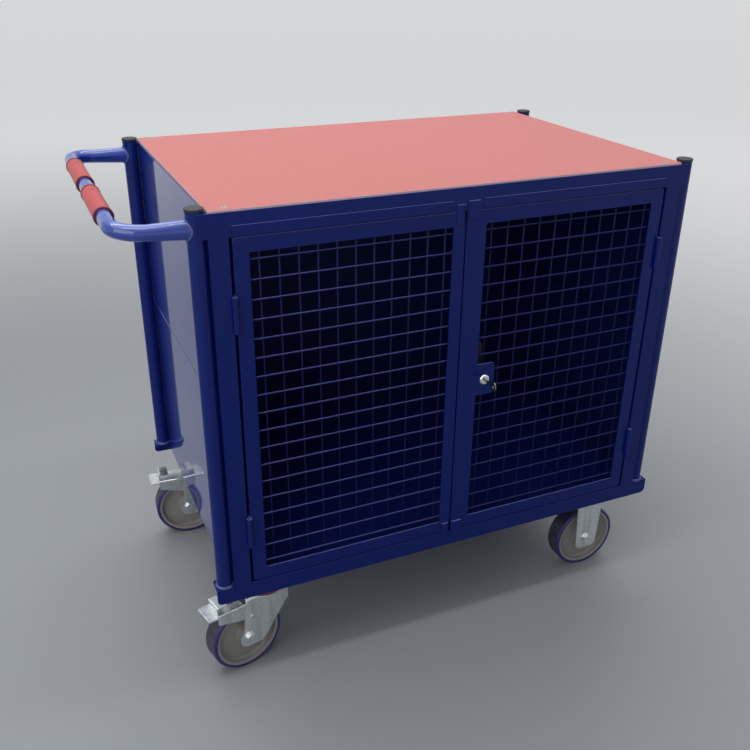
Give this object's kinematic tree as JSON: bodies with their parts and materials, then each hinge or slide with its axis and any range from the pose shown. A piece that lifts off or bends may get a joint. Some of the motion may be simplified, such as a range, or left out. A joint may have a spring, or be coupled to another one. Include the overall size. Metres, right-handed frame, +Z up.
{
  "type": "mesh cart",
  "caption": "Steel cabinet cart on casters with a laminated worktop, a pair of lockable mesh doors in front, sheet sides and a tube push handle with grips.",
  "frame": {"origin": "floor level, under the middle of the worktop", "axes": "+Z up; the doors face -Y; the push handle is on the -X end"},
  "size_m": [1.2745, 0.7462, 1.094],
  "materials": {
    "blue_paint": "glossy powder coat",
    "zinc_plate": "bright zinc plate",
    "worktop_laminate": "satin laminate on board",
    "grip_rubber": "satin moulded",
    "cap_plastic": "moulded",
    "wheel_plastic": "moulded",
    "tyre_rubber": "smooth rolling rubber",
    "seal_plastic": "moulded",
    "lock_chrome": "polished",
    "key_steel": "nickel plated",
    "dark_steel": "blackened"
  },
  "bodies": {
    "cart_body": {"front_base_rail": "blue_paint", "rear_base_rail": "blue_paint", "base_end_members": "blue_paint", "caster_mounting_plates": "blue_paint", "floor_panel": "blue_paint", "corner_posts": "blue_paint", "post_caps": "cap_plastic", "front_lintel": "blue_paint", "lintel_strips": "blue_paint", "front_stiles": "blue_paint", "left_upper_panel": "blue_paint", "left_lower_panel": "blue_paint", "right_upper_panel": "blue_paint", "right_lower_panel": "blue_paint", "back_panel": "blue_paint", "top_board": "worktop_laminate", "board_screws": "zinc_plate", "push_handle": "blue_paint", "front_grip": "grip_rubber", "rear_grip": "grip_rubber", "grip_screws": "zinc_plate", "frame_hinge_leaves": "blue_paint", "hinge_pins": "zinc_plate", "front_left_caster_plate": "zinc_plate", "rear_left_caster_plate": "zinc_plate", "swivel_kingpins": "zinc_plate", "swivel_seals": "seal_plastic", "front_right_fork": "zinc_plate", "rear_right_fork": "zinc_plate", "fixed_axles": "zinc_plate", "caster_fasteners": "zinc_plate"},
    "left_door": {"left_door_frame": "blue_paint", "left_door_mesh": "blue_paint", "left_door_stop_bars": "blue_paint", "left_door_hinge_leaves": "blue_paint", "bolt_guides": "blue_paint"},
    "door_bolt": {"door_bolt": "zinc_plate"},
    "right_door": {"right_door_frame": "blue_paint", "right_door_mesh": "blue_paint", "right_door_stops": "blue_paint", "right_door_hinge_leaves": "blue_paint", "lock_plate": "blue_paint", "lock_housing": "lock_chrome"},
    "lock": {"lock_plug": "lock_chrome", "door_key": "key_steel", "lock_cam": "dark_steel"},
    "front_left_swivel": {"front_left_fork": "zinc_plate", "front_left_axle": "zinc_plate"},
    "front_left_wheel": {"front_left_wheel": "wheel_plastic", "front_left_tyre": "tyre_rubber"},
    "front_left_pedal": {"front_left_pedal": "zinc_plate"},
    "rear_left_swivel": {"rear_left_fork": "zinc_plate", "rear_left_axle": "zinc_plate"},
    "rear_left_wheel": {"rear_left_wheel": "wheel_plastic", "rear_left_tyre": "tyre_rubber"},
    "rear_left_pedal": {"rear_left_pedal": "zinc_plate"},
    "front_right_wheel": {"front_right_wheel": "wheel_plastic", "front_right_tyre": "tyre_rubber"},
    "rear_right_wheel": {"rear_right_wheel": "wheel_plastic", "rear_right_tyre": "tyre_rubber"}
  },
  "joints": [
    {"name": "left_door_hinge", "type": "hinge", "parent": "cart_body", "child": "left_door", "pos_m": [-0.4875, -0.3532, 0.6445], "axis": [0, 0, -1], "range_deg": [0, 175]},
    {"name": "right_door_hinge", "type": "hinge", "parent": "cart_body", "child": "right_door", "pos_m": [0.4875, -0.3532, 0.6445], "axis": [0, 0, 1], "range_deg": [0, 175]},
    {"name": "lock_turn", "type": "hinge", "parent": "right_door", "child": "lock", "pos_m": [0.059, -0.348, 0.653], "axis": [0, -1, 0], "range_deg": [0, 90]},
    {"name": "bolt_slide", "type": "slide", "parent": "left_door", "child": "door_bolt", "axis": [0, 0, 1], "range_m": [0, 0.018]},
    {"name": "front_left_swivel", "type": "hinge", "parent": "cart_body", "child": "front_left_swivel", "pos_m": [-0.4468, -0.275, 0.2], "axis": [0, 0, 1], "continuous": true},
    {"name": "front_left_wheel_spin", "type": "hinge", "parent": "front_left_swivel", "child": "front_left_wheel", "pos_m": [-0.50172, -0.28869, 0.087], "axis": [-0.2419, 0.9703, 0], "continuous": true},
    {"name": "front_left_brake", "type": "hinge", "parent": "front_left_swivel", "child": "front_left_pedal", "pos_m": [-0.49143, -0.28613, 0.142], "axis": [0.2419, -0.9703, 0], "range_deg": [0, 8]},
    {"name": "rear_left_swivel", "type": "hinge", "parent": "cart_body", "child": "rear_left_swivel", "pos_m": [-0.4468, 0.275, 0.2], "axis": [0, 0, 1], "continuous": true},
    {"name": "rear_left_wheel_spin", "type": "hinge", "parent": "rear_left_swivel", "child": "rear_left_wheel", "pos_m": [-0.50326, 0.27895, 0.087], "axis": [0.0698, 0.9976, 0], "continuous": true},
    {"name": "rear_left_brake", "type": "hinge", "parent": "rear_left_swivel", "child": "rear_left_pedal", "pos_m": [-0.49269, 0.27821, 0.142], "axis": [-0.0698, -0.9976, 0], "range_deg": [0, 8]},
    {"name": "front_right_wheel_spin", "type": "hinge", "parent": "cart_body", "child": "front_right_wheel", "pos_m": [0.4383, -0.275, 0.087], "axis": [0, 1, 0], "continuous": true},
    {"name": "rear_right_wheel_spin", "type": "hinge", "parent": "cart_body", "child": "rear_right_wheel", "pos_m": [0.4383, 0.275, 0.087], "axis": [0, 1, 0], "continuous": true}
  ]
}
